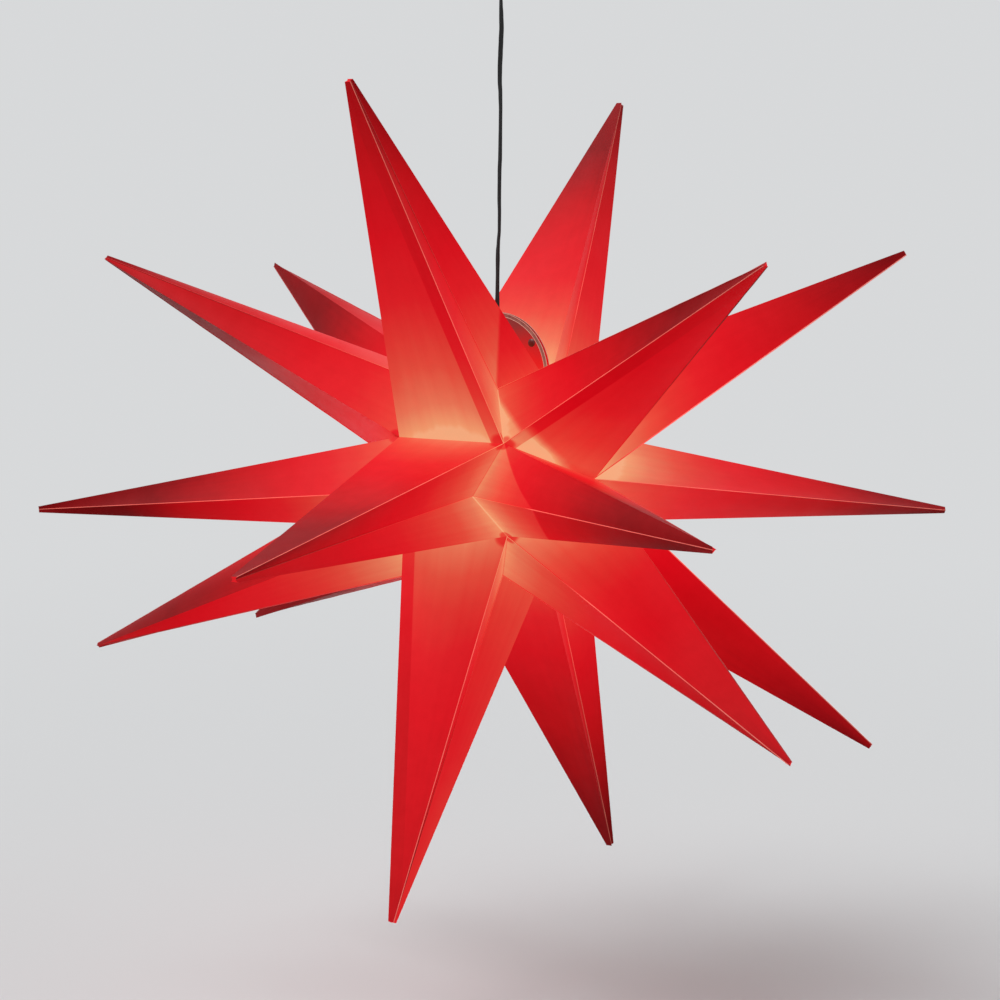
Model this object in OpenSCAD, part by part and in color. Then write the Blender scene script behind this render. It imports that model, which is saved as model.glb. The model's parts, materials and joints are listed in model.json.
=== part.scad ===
// Lit hanging star of red translucent plastic sheet, with eighteen spikes.
// Millimetres, +Z up. The origin is on the ceiling, above the middle of the star.
// The fan axis of the folded sheet runs along X. The front of the star looks toward -Y.

/* [Star] */
// Distance from the middle of the star to the point of every spike
spike_r = 500; // [300:5:560]
// Angle of the right-hand ring of spikes away from the middle ring
right_ring_angle = 55; // [52:1:60]
// Angle of the left-hand ring of spikes away from the middle ring
left_ring_angle = 57; // [52:1:60]
// Angle from straight up to the two top segments
upper_angle = 35; // [30:1:38]
// Angle from straight up to the two middle segments
middle_angle = 97; // [88:1:100]
// Angle from straight up to the two bottom segments
lower_angle = 153; // [148:1:156]
// Distance from the middle to the corner between four spikes
corner_r = 120; // [100:1:140]
// Angle of that corner away from the middle ring
corner_lat = 33; // [30:1:36]
// Distance from the middle to the valley between two spikes of one segment
valley_r = 124; // [105:1:140]
// Angle of that valley away from the middle ring
valley_lat = 20; // [16:1:24]
// Distance from the middle to the right and left poles
pole_r = 123; // [105:1:140]
// Greatest thickness of the folded sheet
sheet_t = 0.6; // [0.4:0.05:1]
// Height of the ceiling above the middle of the star
drop = 620; // [600:5:900]

/* [Closing flaps] */
// Thickness of a flap
flap_t = 0.6; // [0.4:0.05:0.8]
// Straight height of a flap below its half disc
flap_rise = 8; // [4:1:20]
// Distance of a press stud from the cord
stud_x = 45; // [30:1:48]
// Height of a press stud above the fold of its flap
stud_up = 42; // [25:1:44]
// Radius of the cap of a press stud
stud_r = 4.4; // [3.5:0.1:6]
// Height of the domed cap of a press stud
stud_cap_h = 1.4; // [1:0.1:1.8]

/* [Cord] */
// Wide side of the flat twin cord
cord_w = 5.2; // [4:0.1:6]
// Narrow side of the flat twin cord
cord_h = 2.8; // [2:0.1:3.4]
// Radius of one insulated lead of the cord
lead_r = 1.1; // [0.7:0.1:1.3]
// Free room beside the cord where it passes through a piece
cord_clear = 0.3; // [0.2:0.05:0.6]

/* [Cord stop] */
// Radius of the disc on which the star hangs
stop_r = 30; // [20:1:40]
// Thickness of that disc
stop_t = 3; // [2:0.5:5]

/* [Lampholder] */
// Outer radius of the lampholder
holder_r = 16; // [15:0.5:18]
// Wall of the lampholder's dome and body
holder_wall = 1.6; // [1.2:0.1:2.2]
// Outer radius of the neck of the dome
neck_r = 7.5; // [6.5:0.5:9]
// Height of the neck of the dome
neck_h = 9; // [7:0.5:14]
// Height of the whole dome
dome_h = 32; // [28:1:40]
// Height of the body below the dome
body_h = 38; // [36:1:46]
// Thickness of the body's web above the lamp
web_t = 6; // [4:0.5:8]
// Depth of the wide mouth of the body
mouth_depth = 8; // [6:0.5:10]
// Radius of the wide mouth of the body
mouth_r = 11; // [10.5:0.1:12]
// Height of the spigot that plugs into the dome
spigot_h = 6; // [4:0.5:8]
// Thickness of the metal screw shell
shell_t = 0.45; // [0.3:0.05:0.6]
// Radius of the cord clamp screw
clamp_r = 1.5; // [1:0.1:2]

/* [Lamp] */
// Outer radius of the lamp's screw cap
cap_r = 6.95; // [6.8:0.05:7]
// Height of the lamp's screw cap
cap_h = 18; // [16:0.5:20]
// Height of the dark insulator on the cap
insulator_h = 3; // [2:0.5:4]
// Height of the centre contact
contact_h = 1.8; // [1:0.1:2.5]
// Radius of the centre contact
contact_r = 2.4; // [2:0.1:3]
// Radius of the round diffuser
bulb_r = 22.5; // [20:0.5:26]
// Wall of the diffuser and of the lamp's housing
bulb_wall = 1; // [0.8:0.1:1.6]
// Height of the white housing between cap and diffuser
housing_h = 18; // [15:1:24]
// Radius of the housing where it meets the diffuser
housing_r = 13.4; // [12:0.1:15]
// Number of light-emitting chips on the ring of the board
chip_count = 8; // [4:1:10]

/* [Ceiling cup] */
// Outer radius of the cup
cup_r = 42; // [36:1:50]
// Height of the cup
cup_h = 38; // [34:1:46]
// Wall of the cup
cup_wall = 1.2; // [1:0.1:2]
// Rounding of the cup's lower edge
cup_round = 6; // [3:0.5:9]
// Distance between the two ceiling screw slots
slot_spacing = 50; // [40:1:56]
// Width of a ceiling screw slot
slot_w = 4.5; // [3.5:0.1:5.5]
// Length of a ceiling screw slot
slot_l = 12; // [8:0.5:14]
// Width of the bracket strap
strap_w = 18; // [14:1:24]
// Thickness of the bracket strap
strap_t = 1.5; // [1:0.1:2]
// Radius of the shank of the two side screws
side_screw_r = 1.9; // [1.5:0.1:2.2]
// Height of the side screws below the ceiling
side_screw_down = 9; // [7:0.5:12]
// Radius of the threaded part of the cord gland
gland_r = 5; // [4.5:0.1:6]
// Radius of the ball on which the cord swings
ball_r = 5; // [4.4:0.1:5.4]
// Length of the soft boot below the ball's middle
boot_h = 20; // [16:1:30]

/* [Hidden] */
$fn = 64;

// Small clearances between seated pieces and between moving pieces
seat = 0.1;
run = 0.3;
front = -1;
rear = 1;
upper = 0;
lower = 1;

// How far each spike of a segment leans as the star hangs, in degrees, as
// [toward +X, down from the top], for the right, middle and left spike
segments = [
    [upper_angle, front, [[-1, 2], [0, 0], [0, -1]]],
    [middle_angle, front, [[0, -2], [2, 0], [-1, 3]]],
    [lower_angle, front, [[1, 2], [1, 2], [-1, -11]]],
    [upper_angle, rear, [[0, -3], [-1, 0], [0, 3]]],
    [middle_angle, rear, [[0, 1], [0, 0], [0, 0]]],
    [lower_angle, rear, [[-1, 6], [4, 2], [-2, -7]]]
];
rings = [right_ring_angle, 0, -left_ring_angle];

// Planes between the segments, as angles from straight up
folds = [0, (upper_angle + middle_angle) / 2, (middle_angle + lower_angle) / 2, 180];

// The two halves stand apart at the top by the flaps and the cord between them
flap_in = cord_h / 2 + cord_clear;
flap_out = flap_in + flap_t;
parting = flap_out + seat;

// Corners and triangles of one leaf. The corners run round its edge:
// pole, spike, valley, spike, valley, spike, pole, corner, corner
leaf_faces = [[0, 1, 8], [1, 2, 8], [2, 3, 8], [3, 7, 8], [3, 4, 7], [4, 5, 7], [5, 6, 7]];
edge_count = 9;

function toward(along, down, side, r) =
    r * [sin(along), side * cos(along) * sin(down), cos(along) * cos(down)];
function spike_tip(s, ring) =
    toward(rings[ring] + s[2][ring][0], s[0] + s[2][ring][1], s[1], spike_r);
function leaf_corner(down, side, along) =
    toward(along, down, side, corner_r) + (down == 0 ? [0, side * parting, 0] : [0, 0, 0]);
function leaf_edge(s, down) = [
    [pole_r, 0, 0],
    spike_tip(s, 0),
    toward(valley_lat, s[0], s[1], valley_r),
    spike_tip(s, 1),
    toward(-valley_lat, s[0], s[1], valley_r),
    spike_tip(s, 2),
    [-pole_r, 0, 0],
    leaf_corner(down, s[1], -corner_lat),
    leaf_corner(down, s[1], corner_lat)
];
function plane_depth(a, b, c) = let (n = cross(b - a, c - a)) abs(n * a) / norm(n);
function leaf_depth(p) = max([for (f = leaf_faces) plane_depth(p[f[0]], p[f[1]], p[f[2]])]);

// The inner surface is the outer one drawn in toward the middle by one factor,
// so that the edges of neighbouring leaves meet face to face
deepest = max([
    for (s = segments, i = [0:3]) if (abs(folds[i] - s[0]) < 90) leaf_depth(leaf_edge(s, folds[i]))
]);
draw_in = 1 - sheet_t / deepest;

module leaf(segment, half) {
    s = segments[segment];
    down = folds[segment % 3 + half];
    outer = leaf_edge(s, down);
    points = concat(outer, outer * draw_in);
    n = edge_count;
    shell = concat(
        leaf_faces,
        [for (f = leaf_faces) [f[2] + n, f[1] + n, f[0] + n]],
        [for (i = [0:n - 1]) let (j = (i + 1) % n) [j, i, i + n]],
        [for (i = [0:n - 1]) let (j = (i + 1) % n) [j, i + n, j + n]]
    );
    flipped = (s[1] == front) == (half == lower);
    faces = flipped ? [for (f = shell) [f[2], f[1], f[0]]] : shell;
    color("crimson") translate([0, 0, -drop]) polyhedron(points, faces, convexity = 6);
}

// Closing flaps: a fold along the top edge of each half of the star
fold_z = corner_r * cos(corner_lat);
flap_r = corner_r * sin(corner_lat);
stud_z = fold_z + stud_up;
post_r = 1.1;
post_hole_r = post_r + seat;
socket_r = stud_r - 0.4;
nub_r = 1.35;
socket_bore_r = nub_r + seat;
socket_front = 0.2;
nub_reach = 1.1;

module at_studs() {
    for (x = [-stud_x, stud_x]) translate([x, 0, stud_z - drop]) children();
}

module along_y(y0, y1, r) {
    translate([0, y0, 0]) rotate([-90, 0, 0]) cylinder(h = y1 - y0, r = r, $fn = 40);
}

module flap_plate(side) {
    low = side == front ? -flap_out : flap_in;
    difference() {
        translate([0, low + flap_t, fold_z - drop]) rotate([90, 0, 0]) linear_extrude(flap_t)
            union() {
                translate([-flap_r, 0]) square([2 * flap_r, flap_rise]);
                intersection() {
                    translate([0, flap_rise]) circle(r = flap_r, $fn = 96);
                    translate([-flap_r, flap_rise]) square([2 * flap_r, flap_r]);
                }
            }
        at_studs() along_y(low - 1, low + flap_t + 1, post_hole_r);
    }
}

module front_flap() { color("firebrick") flap_plate(front); }

module rear_flap() { color("firebrick") flap_plate(rear); }

module stud_dome(inner) {
    cap_sphere = (stud_r * stud_r + stud_cap_h * stud_cap_h) / (2 * stud_cap_h);
    rotate_extrude($fn = 40) union() {
        intersection() {
            translate([0, stud_cap_h - cap_sphere]) circle(r = cap_sphere, $fn = 200);
            square([stud_r, stud_cap_h]);
        }
        translate([0, -inner]) square([post_r, inner]);
    }
}

module stud_caps() {
    color("darkred") at_studs() translate([0, -flap_out, 0]) rotate([90, 0, 0])
        stud_dome(flap_t + (flap_in - nub_reach) - seat);
}

module stud_sockets() {
    color("silver") at_studs() difference() {
        along_y(-flap_in, -socket_front, socket_r);
        along_y(-flap_in - 1, -nub_reach, post_hole_r);
        along_y(-nub_reach - seat, socket_front, socket_bore_r);
    }
}

module stud_posts() {
    color("silver") at_studs() difference() {
        union() {
            along_y(0, flap_in, socket_r);
            along_y(-nub_reach, 0.1, nub_r);
        }
        along_y(nub_reach, flap_in + 1, post_hole_r);
    }
}

module stud_backs() {
    color("darkred") at_studs() translate([0, flap_out, 0]) rotate([-90, 0, 0])
        stud_dome(flap_t + (flap_in - nub_reach) - seat);
}

// The flat cord. Each row of the route is height above the star's middle,
// sideways wave and turn of the wide side, with the boot's pivot at the top
ball_down = 10;
split_up = 9;
ball_z = cup_h + ball_down;
boot_z = ball_z + boot_h;
cord_split = fold_z + flap_rise + flap_r + split_up;
cord_top = drop - boot_z;
cord_route = [
    [541, 0, -20], [529, 0, -40], [516, 0, -55], [504, 0.5, -30], [492, 1, -5],
    [479, 1.5, 10], [466, 1, 20], [452, 0.5, 25], [438, 0, 10], [424, 0, -5],
    [408, 1, -20], [392, 1.5, -30], [376, 1.5, -30], [359, 1.5, -25], [342, 1.5, -20],
    [327, 1, -20], [312, 1, -25], [298, 1, -25], [280, 1.5, -35], [263, 1.5, -40],
    [249, 0.5, -35], [240, 0, -20], [232, 0, -10], [216, 0, -25], [200, 0, -20]
];
cord_sides = 10;

// Rows of a tube: height, sideways place, turn, and half of the wide side
rounded_top = [
    for (up = [0.9, 0.7, 0.4, 0])
        [cord_top + up * cord_w / 2, 0, 0, cord_w / 2 * sqrt(1 - up * up)]
];
free_rows = concat(
    rounded_top,
    [for (p = cord_route) if (p[0] < cord_top - 5 && p[0] > cord_split + 5)
        [p[0], p[1], p[2], cord_w / 2]],
    [[cord_split, 0, 0, cord_w / 2]]
);

function cord_ring(row) = [
    for (i = [0:cord_sides - 1]) let (
        a = i * 360 / cord_sides,
        u = row[3] * cos(a),
        v = cord_h / 2 * sin(a)
    ) [row[1] + u * cos(row[2]) - v * sin(row[2]), u * sin(row[2]) + v * cos(row[2]), row[0]]
];

module cord_tube(rows) {
    n = cord_sides;
    last = len(rows) - 1;
    points = [for (row = rows) each cord_ring(row)];
    sides = [
        for (k = [0:last - 1], i = [0:n - 1]) let (j = (i + 1) % n, a = k * n, b = a + n)
            each [[a + i, a + j, b + j], [a + i, b + j, b + i]]
    ];
    ends = concat(
        [for (i = [1:n - 2]) [0, i + 1, i]],
        [for (i = [1:n - 2]) [last * n, last * n + i, last * n + i + 1]]
    );
    translate([0, 0, -drop]) polyhedron(points, concat(sides, ends), convexity = 4);
}

module pendant_cord() { color("black") cord_tube(free_rows); }

// Heights of the pieces inside the star, above its middle
stop_top = fold_z * draw_in - run;
dome_top = stop_top - stop_t;
body_top = dome_top - dome_h;
body_low = body_top - body_h;
web_low = body_top - web_t;
bulb_gap = 0.2;
contact_top = web_low - 3.2;
cap_top = contact_top - contact_h - insulator_h;
cap_low = cap_top - cap_h;
housing_low = cap_low - housing_h;
cord_bore = cord_w / 2 + cord_clear;
cord_end = dome_top - neck_h - 2;

module lower_cord() {
    color("black") cord_tube([
        for (z = [cord_split, fold_z, cord_end]) [z, 0, 0, cord_w / 2]
    ]);
}

module disc(low, high, r) {
    translate([0, 0, low - drop]) cylinder(h = high - low, r = r);
}

module cord_stop() {
    color("white") difference() {
        disc(dome_top, stop_top, stop_r);
        disc(dome_top - 1, stop_top + 1, cord_bore);
    }
}

module lampholder_dome() {
    flare = 14;
    inner_r = holder_r - holder_wall;
    color("dimgray") difference() {
        translate([0, 0, dome_top - drop]) rotate_extrude() polygon([
            [cord_bore, 0], [neck_r, 0], [neck_r, -neck_h], [holder_r, -neck_h - flare],
            [holder_r, -dome_h], [inner_r, -dome_h], [inner_r, -neck_h - flare],
            [neck_r - holder_wall, -neck_h - holder_wall], [cord_bore, -neck_h - holder_wall]
        ]);
        clamp_bore(clamp_r + seat);
    }
}

module clamp_bore(r) {
    translate([cord_w / 2 + seat, 0, dome_top - neck_h / 2 - drop]) rotate([0, 90, 0])
        cylinder(h = neck_r, r = r, $fn = 40);
}

module cord_clamp_screw() {
    color("silver") intersection() {
        clamp_bore(clamp_r);
        disc(dome_top - neck_h, dome_top, neck_r + 1);
    }
}

terminal_x = 8;
terminal_w = 6;
terminal_h = 7;
// Gap between the end of a cord and the slanting leads that come out of it
lead_gap = run + lead_r / 2;

module holder_leads() {
    start = [cord_w / 4, 0, cord_end - lead_gap];
    finish = [terminal_x, 0, body_top + terminal_h + run + lead_r / 2];
    way = finish - start;
    color("black") for (side = [0, 180]) rotate(side) translate(start - [0, 0, drop])
        rotate([0, acos(way[2] / norm(way)), 0]) cylinder(h = norm(way), r = lead_r, $fn = 24);
}

module lampholder_body() {
    bore_r = cap_r + 3 * seat + shell_t;
    color("dimgray") difference() {
        union() {
            disc(body_low, body_top, holder_r);
            disc(body_top - 1, body_top + spigot_h, holder_r - holder_wall - 2 * seat);
        }
        disc(body_top, body_top + spigot_h + 1, holder_r - 2 * holder_wall - 2 * seat);
        disc(body_low - 1, web_low, bore_r);
        disc(body_low - 1, body_low + mouth_depth, mouth_r);
    }
}

module holder_terminals() {
    color("goldenrod") for (x = [-terminal_x, terminal_x])
        difference() {
            translate([x - terminal_w / 2, -terminal_w / 2, body_top - drop])
                cube([terminal_w, terminal_w, terminal_h]);
            translate([x, 0, body_top + terminal_h / 2 - drop]) rotate([90, 0, 0])
                cylinder(h = terminal_w, r = clamp_r + seat / 2, $fn = 40);
        }
}

module holder_terminal_screws() {
    color("silver") for (x = [-terminal_x, terminal_x])
        translate([x, -seat, body_top + terminal_h / 2 - drop]) rotate([90, 0, 0])
            union() {
                cylinder(h = terminal_w / 2, r = clamp_r, $fn = 40);
                translate([0, 0, terminal_w / 2 - seat]) cylinder(h = 1.2, r = clamp_r + 0.9, $fn = 40);
            }
}

module centre_contact() {
    tongue_t = 0.6;
    tongue_l = 10;
    tongue_w = 4;
    color("goldenrod") union() {
        translate([-tongue_l / 2, -tongue_w / 2, web_low - tongue_t - drop])
            cube([tongue_l, tongue_w, tongue_t]);
        disc(contact_top + seat, web_low - tongue_t + 0.1, contact_r - 0.4);
    }
}

module screw_shell() {
    inner = cap_r + 2 * seat;
    color("goldenrod") difference() {
        disc(body_low + mouth_depth, cap_top, inner + shell_t);
        disc(body_low, cap_top + 1, inner);
    }
}

function housing_at(z) = cap_r + 1 + (housing_r - cap_r - 1) * (cap_low - z) / housing_h;

module seal_ring() {
    low = body_low + 0.5;
    color("black") difference() {
        disc(low, body_low + mouth_depth - 1, mouth_r - seat);
        disc(low - 1, body_low + mouth_depth, housing_at(low) + run);
    }
}

// The lamp, hanging cap upward in the lampholder
module lamp_contact() { color("silver") disc(cap_top + insulator_h, contact_top, contact_r); }

module lamp_insulator() {
    color("black") translate([0, 0, cap_top - drop])
        rotate_extrude() polygon([[0, 0], [cap_r - 1, 0], [contact_r, insulator_h], [0, insulator_h]]);
}

module lamp_cap() {
    thread = 2.822;
    color("silver") difference() {
        translate([0, 0, cap_low - drop]) rotate_extrude() polygon(concat(
            [[0, 0], [cap_r, 0]],
            [for (i = [1:4]) each [
                [cap_r, i * thread], [cap_r - 0.6, (i + 0.5) * thread]
            ]],
            [[cap_r, 5 * thread], [cap_r - 1, cap_h], [0, cap_h]]
        ));
        disc(cap_low - 1, cap_top - bulb_wall, cap_r - 0.6 - 0.6);
    }
}

module lamp_housing() {
    t = bulb_wall + 0.4;
    color("white") translate([0, 0, cap_low - drop]) rotate_extrude() polygon([
        [cap_r - 2.4, 0], [cap_r + 1, 0], [housing_r, -housing_h],
        [housing_r - t, -housing_h], [cap_r + 1 - t, -t], [cap_r - 2.4, -t]
    ]);
}

board_t = 1.2;
board_r = housing_r - bulb_wall - 0.4 - 2 * seat - board_t / 2;

module driver_board() {
    w = 2 * (cap_r - 2.4) - 1;
    color("seagreen") translate([-w / 2, -0.6, housing_low + board_t - drop])
        cube([w, 1.2, housing_h + cap_h / 2]);
}

module lamp_board() { color("white") disc(housing_low, housing_low + board_t, board_r); }

module lamp_chips() {
    chip = 2.6;
    chip_t = 0.8;
    low = housing_low - chip_t - drop;
    color("khaki") union() {
        for (i = [0:chip_count - 1]) rotate(i * 360 / chip_count)
            translate([board_r * 0.65, -chip / 2, low]) cube([chip, chip, chip_t]);
        translate([-chip / 2, -chip / 2, low]) cube([chip, chip, chip_t]);
    }
}

module lamp_diffuser() {
    down = sqrt(bulb_r * bulb_r - housing_r * housing_r);
    color("ivory") translate([0, 0, housing_low - down - drop]) rotate_extrude($fn = 96)
        difference() {
            intersection() {
                circle(r = bulb_r, $fn = 160);
                translate([0, -bulb_r]) square([bulb_r, bulb_r + down]);
            }
            circle(r = bulb_r - bulb_wall, $fn = 160);
        }
}

// The ceiling cup and what it holds, measured down from the ceiling
module ceiling_cup() {
    inner_round = cup_round - cup_wall;
    color("white") difference() {
        translate([0, 0, -cup_h]) rotate_extrude($fn = 96) difference() {
            cup_outline(cup_r, cup_h, cup_round);
            translate([0, cup_wall]) cup_outline(cup_r - cup_wall, cup_h, inner_round);
        }
        translate([0, 0, -cup_h - 1]) cylinder(h = cup_wall + 2, r = gland_r + seat);
        at_side_screws() cylinder(h = 2 * cup_wall + 8, r = side_screw_r + seat, $fn = 40);
    }
}

module cup_outline(r, h, edge) {
    union() {
        square([r - edge, h]);
        translate([0, edge]) square([r, h - edge]);
        translate([r - edge, edge]) circle(r = edge);
    }
}

// Placed at the inner end of each side screw, with +Z pointing outward
ear_out = sqrt(pow(cup_r - cup_wall, 2) - pow(strap_w / 3, 2)) - seat;

module at_side_screws() {
    for (side = [0, 180]) rotate(side) translate([ear_out - 5, 0, -side_screw_down])
        rotate([0, 90, 0]) children();
}

module ceiling_bracket() {
    ear_w = 2 * strap_w / 3;
    ear_h = side_screw_down + 5;
    color("silver") difference() {
        union() {
            translate([-ear_out, -strap_w / 3, -strap_t]) cube([2 * ear_out, ear_w, strap_t]);
            translate([-slot_spacing / 2 - slot_l, -strap_w / 2, -strap_t])
                cube([slot_spacing + 2 * slot_l, strap_w, strap_t]);
            for (x = [-ear_out, ear_out - strap_t]) translate([x, -ear_w / 2, -ear_h])
                cube([strap_t, ear_w, ear_h]);
        }
        for (x = [-slot_spacing / 2, slot_spacing / 2]) translate([x, 0, -strap_t - 1]) {
            translate([-slot_l / 2 + slot_w / 2, -slot_w / 2, 0])
                cube([slot_l - slot_w, slot_w, strap_t + 2]);
            for (e = [-1, 1]) translate([e * (slot_l - slot_w) / 2, 0, 0])
                cylinder(h = strap_t + 2, r = slot_w / 2);
        }
        at_side_screws() cylinder(h = 6, r = side_screw_r + seat / 2, $fn = 40);
    }
}

module side_screws() {
    head_h = 2.4;
    shank = cup_r - ear_out + 5 + seat;
    color("silver") at_side_screws() union() {
        cylinder(h = shank + 0.1, r = side_screw_r, $fn = 40);
        translate([0, 0, shank]) cylinder(h = head_h, r = side_screw_r + 1.7, $fn = 40);
    }
}

block_w = 24;
block_d = 14;
block_h = 12;
block_x = 6;

module terminal_block() {
    color("white") difference() {
        translate([-block_w / 2, -block_d / 2, -strap_t - block_h]) cube([block_w, block_d, block_h]);
        for (x = [-block_x, block_x]) {
            translate([x, -block_d / 2 - 1, -strap_t - block_h / 2]) rotate([-90, 0, 0])
                cylinder(h = 5, r = clamp_r + 0.5 + seat, $fn = 40);
            translate([x, 0, -strap_t - block_h - 1]) cylinder(h = 5, r = lead_r + 0.5, $fn = 40);
        }
    }
}

module terminal_screws() {
    color("silver") for (x = [-block_x, block_x])
        translate([x, -block_d / 2, -strap_t - block_h / 2]) rotate([-90, 0, 0]) difference() {
            cylinder(h = 4, r = clamp_r + 0.5, $fn = 40);
            translate([-clamp_r, -0.3, -1]) cube([2 * clamp_r, 0.6, 1.6]);
        }
}

gland_flange = 3;
gland_top = 11;
ball_seat = ball_r + run;
canopy_cord_top = cup_h - gland_top - 3;

module canopy_leads() {
    start = [cord_w / 4, 0, -canopy_cord_top + lead_gap];
    finish = [block_x, 0, -strap_t - block_h + 2];
    knee = [block_x, 0, -strap_t - block_h - 4];
    color("black") for (side = [0, 180]) rotate(side) {
        way = knee - start;
        union() {
            translate(start) rotate([0, acos(way[2] / norm(way)), 0])
                cylinder(h = norm(way), r = lead_r, $fn = 24);
            translate(knee) sphere(r = lead_r + 0.05, $fn = 24);
            translate(knee) cylinder(h = finish[2] - knee[2], r = lead_r, $fn = 24);
        }
    }
}

module canopy_cord() {
    low = drop - ball_z + ball_seat;
    color("black") cord_tube([
        for (z = [drop - canopy_cord_top, low]) [z, 0, 0, cord_w / 2]
    ]);
}

module cord_gland() {
    seat_r = ball_seat + 2.2;
    color("white") difference() {
        union() {
            translate([0, 0, -cup_h - gland_flange]) cylinder(h = gland_flange, r = gland_r + 3.5);
            translate([0, 0, -cup_h - 0.1]) cylinder(h = gland_top, r = gland_r);
            translate([0, 0, -ball_z]) cylinder(h = ball_z - cup_h - gland_flange + 0.1, r = seat_r);
        }
        translate([0, 0, -ball_z - 1]) cylinder(h = ball_down + gland_top + 2, r = cord_bore);
        translate([0, 0, -ball_z]) sphere(r = ball_seat);
    }
}

module gland_nut() {
    nut_h = 5;
    color("white") translate([0, 0, -cup_h + cup_wall]) difference() {
        cylinder(h = nut_h, r = gland_r + 3.5, $fn = 6);
        translate([0, 0, -1]) cylinder(h = nut_h + 2, r = gland_r + seat / 2);
    }
}

module outlet_boot() {
    waist = ball_r - 0.5;
    pocket_r = cord_w / 2 + run;
    tip_r = pocket_r + 1.3;
    color("black") difference() {
        union() {
            translate([0, 0, -ball_z]) sphere(r = ball_r);
            translate([0, 0, -boot_z]) cylinder(h = boot_h, r1 = tip_r, r2 = waist);
        }
        translate([0, -cord_h / 2 - cord_clear, -boot_z]) rotate([-90, 0, 0])
            cylinder(h = cord_h + 2 * cord_clear, r = pocket_r);
    }
}

leaf(0, upper);  // top_front_upper_leaf
leaf(0, lower);  // top_front_lower_leaf
leaf(1, upper);  // middle_front_upper_leaf
leaf(1, lower);  // middle_front_lower_leaf
leaf(2, upper);  // bottom_front_upper_leaf
leaf(2, lower);  // bottom_front_lower_leaf
leaf(3, upper);  // top_rear_upper_leaf
leaf(3, lower);  // top_rear_lower_leaf
leaf(4, upper);  // middle_rear_upper_leaf
leaf(4, lower);  // middle_rear_lower_leaf
leaf(5, upper);  // bottom_rear_upper_leaf
leaf(5, lower);  // bottom_rear_lower_leaf
front_flap();
rear_flap();
stud_caps();
stud_sockets();
stud_posts();
stud_backs();
pendant_cord();
lower_cord();
cord_stop();
lampholder_dome();
cord_clamp_screw();
holder_leads();
lampholder_body();
holder_terminals();
holder_terminal_screws();
centre_contact();
screw_shell();
seal_ring();
lamp_contact();
lamp_insulator();
lamp_cap();
lamp_housing();
driver_board();
lamp_board();
lamp_chips();
lamp_diffuser();
ceiling_cup();
ceiling_bracket();
side_screws();
terminal_block();
terminal_screws();
canopy_leads();
canopy_cord();
cord_gland();
gland_nut();
outlet_boot();
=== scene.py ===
"""Looks of a lit hanging star: bowed translucent sheets, welded seams, flaps, flat cord and fittings.

Everything is in metres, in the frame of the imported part.
"""

import json
import math
import random

import bmesh
import bpy
from mathutils import Matrix, Vector, noise


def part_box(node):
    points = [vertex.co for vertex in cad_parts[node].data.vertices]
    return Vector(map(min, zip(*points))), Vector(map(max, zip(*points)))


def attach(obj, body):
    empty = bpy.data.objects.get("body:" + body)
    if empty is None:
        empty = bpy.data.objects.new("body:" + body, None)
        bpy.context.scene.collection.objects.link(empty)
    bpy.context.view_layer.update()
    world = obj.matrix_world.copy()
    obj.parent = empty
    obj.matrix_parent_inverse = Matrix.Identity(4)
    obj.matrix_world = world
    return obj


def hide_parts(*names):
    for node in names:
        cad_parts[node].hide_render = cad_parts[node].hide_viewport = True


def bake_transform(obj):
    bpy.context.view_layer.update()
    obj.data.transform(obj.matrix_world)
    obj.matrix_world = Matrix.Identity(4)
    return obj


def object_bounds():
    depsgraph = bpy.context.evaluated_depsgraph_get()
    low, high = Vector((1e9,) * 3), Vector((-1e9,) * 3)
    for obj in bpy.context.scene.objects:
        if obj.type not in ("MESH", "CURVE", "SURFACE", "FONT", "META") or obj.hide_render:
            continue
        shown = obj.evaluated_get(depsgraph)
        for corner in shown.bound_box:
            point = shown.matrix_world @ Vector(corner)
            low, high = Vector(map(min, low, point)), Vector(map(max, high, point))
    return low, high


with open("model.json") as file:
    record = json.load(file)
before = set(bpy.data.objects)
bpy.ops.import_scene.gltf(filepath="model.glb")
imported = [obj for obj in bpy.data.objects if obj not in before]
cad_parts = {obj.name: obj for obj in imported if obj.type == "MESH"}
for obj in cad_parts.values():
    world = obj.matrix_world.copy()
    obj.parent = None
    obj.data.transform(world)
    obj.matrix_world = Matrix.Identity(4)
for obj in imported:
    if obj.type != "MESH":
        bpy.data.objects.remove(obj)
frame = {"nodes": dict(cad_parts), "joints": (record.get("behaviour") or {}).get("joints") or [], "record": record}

cad_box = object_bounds()
nodes = frame["nodes"]
joints = {joint["name"]: joint for joint in frame["joints"]}
middle = Vector(joints["lamp_turn"]["pos_m"])
# The lamp's light comes from a little below the star's middle
lamp_middle = middle + Vector((0, 0, -0.0035))

# View of the photograph, round the middle of the star
VIEW_AZIMUTH = math.radians(31.2)
VIEW_ELEVATION = math.radians(5.6)
VIEW_DISTANCE = 2.881
VIEW_ROLL = math.radians(0.64)
LENS = 95.0
SENSOR = 36.0
SHIFT = (0.0046, -0.0281)

# Node editor helpers

# Sockets of a colour mix, which share their names with its other kinds
MIX_FIRST = 6
MIX_SECOND = 7
MIX_RESULT = 2
# Stretch of a noise that its values mostly fill
NOISE_SPAN = (0.3, 0.7)


def new_material(name):
    material = bpy.data.materials.new(name)
    material.use_nodes = True
    return material, material.node_tree, material.node_tree.nodes["Principled BSDF"]


def fill(tree, node, inputs):
    """Sets each input of a node, by name or number, to a value, or links it to a socket."""
    for name, value in inputs.items():
        if isinstance(value, bpy.types.NodeSocket):
            tree.links.new(value, node.inputs[name])
        else:
            node.inputs[name].default_value = value


def add(tree, kind, inputs=None, **settings):
    """A new node with its properties and inputs set."""
    node = tree.nodes.new(kind)
    for name, value in settings.items():
        setattr(node, name, value)
    fill(tree, node, inputs or {})
    return node


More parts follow.
